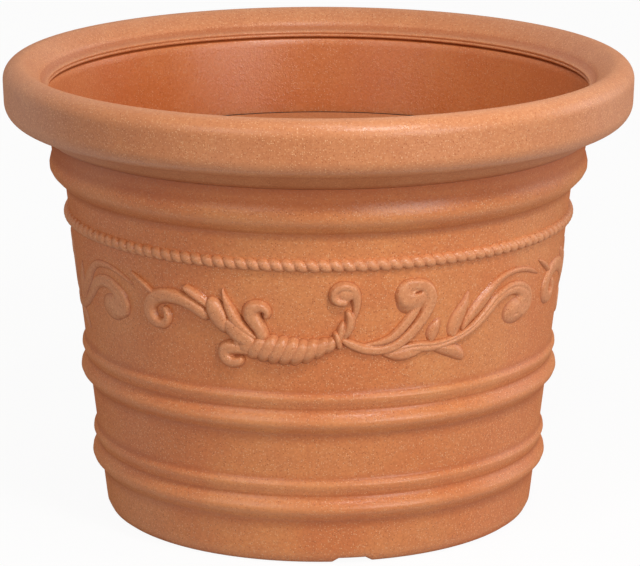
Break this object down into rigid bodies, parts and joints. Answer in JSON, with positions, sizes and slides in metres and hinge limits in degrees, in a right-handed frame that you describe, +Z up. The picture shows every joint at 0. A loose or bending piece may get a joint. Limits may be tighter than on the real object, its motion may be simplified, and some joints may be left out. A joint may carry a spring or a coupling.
{
  "type": "flower pot",
  "caption": "Large round floor planter in a terracotta finish, with a heavy rolled rim, a rope moulding, a scrollwork frieze, rib pairs and a lift-out planting shelf.",
  "frame": {"origin": "middle of the foot, on the surface the pot stands on", "axes": "+Z up along the pot's axis; the front, with the middle horn of the frieze, faces -Y"},
  "size_m": [0.56, 0.56, 0.4085],
  "materials": {
    "wall_clay": "moulded resin in a terracotta colour, finely speckled, satin",
    "rim_clay": "moulded resin in a terracotta colour, finely speckled, matte",
    "rope_clay": "moulded terracotta-coloured rope strands, satin",
    "scroll_clay": "moulded terracotta-coloured scrollwork, satin",
    "leaf_clay": "moulded terracotta-coloured leaves, satin",
    "shelf_clay": "moulded resin in a darker terracotta colour, matte"
  },
  "bodies": {
    "pot": {"pot_wall": "wall_clay", "rolled_rim": "rim_clay", "rope_moulding": "rope_clay", "front_horn": "scroll_clay", "right_horn": "scroll_clay", "left_horn": "scroll_clay", "front_horn_tie": "leaf_clay", "right_horn_tie": "leaf_clay", "left_horn_tie": "leaf_clay", "front_twisted_stem": "scroll_clay", "right_twisted_stem": "scroll_clay", "left_twisted_stem": "scroll_clay", "front_upper_scroll": "scroll_clay", "right_upper_scroll": "scroll_clay", "left_upper_scroll": "scroll_clay", "front_lower_scroll": "scroll_clay", "right_lower_scroll": "scroll_clay", "left_lower_scroll": "scroll_clay", "front_long_leaf": "leaf_clay", "right_long_leaf": "leaf_clay", "left_long_leaf": "leaf_clay", "front_tall_leaf": "leaf_clay", "right_tall_leaf": "leaf_clay", "left_tall_leaf": "leaf_clay", "front_small_leaf": "leaf_clay", "right_small_leaf": "leaf_clay", "left_small_leaf": "leaf_clay", "front_root_leaf": "leaf_clay", "right_root_leaf": "leaf_clay", "left_root_leaf": "leaf_clay", "front_drooping_leaf": "leaf_clay", "right_drooping_leaf": "leaf_clay", "left_drooping_leaf": "leaf_clay", "front_arch_scroll": "scroll_clay", "right_arch_scroll": "scroll_clay", "left_arch_scroll": "scroll_clay", "front_tip_leaf": "leaf_clay", "right_tip_leaf": "leaf_clay", "left_tip_leaf": "leaf_clay", "front_side_bud": "leaf_clay", "right_side_bud": "leaf_clay", "left_side_bud": "leaf_clay", "front_mouth_bulb": "scroll_clay", "right_mouth_bulb": "scroll_clay", "left_mouth_bulb": "scroll_clay", "front_spike_leaf": "leaf_clay", "right_spike_leaf": "leaf_clay", "left_spike_leaf": "leaf_clay", "front_lip_leaf": "scroll_clay", "right_lip_leaf": "scroll_clay", "left_lip_leaf": "scroll_clay", "front_mouth_curl": "scroll_clay", "right_mouth_curl": "scroll_clay", "left_mouth_curl": "scroll_clay", "front_lower_curl": "scroll_clay", "right_lower_curl": "scroll_clay", "left_lower_curl": "scroll_clay"},
    "shelf": {"planting_shelf": "shelf_clay"}
  },
  "joints": [
    {"name": "shelf_lift", "type": "slide", "parent": "pot", "child": "shelf", "axis": [0, 0, 1], "range_m": [0, 0.11]}
  ]
}
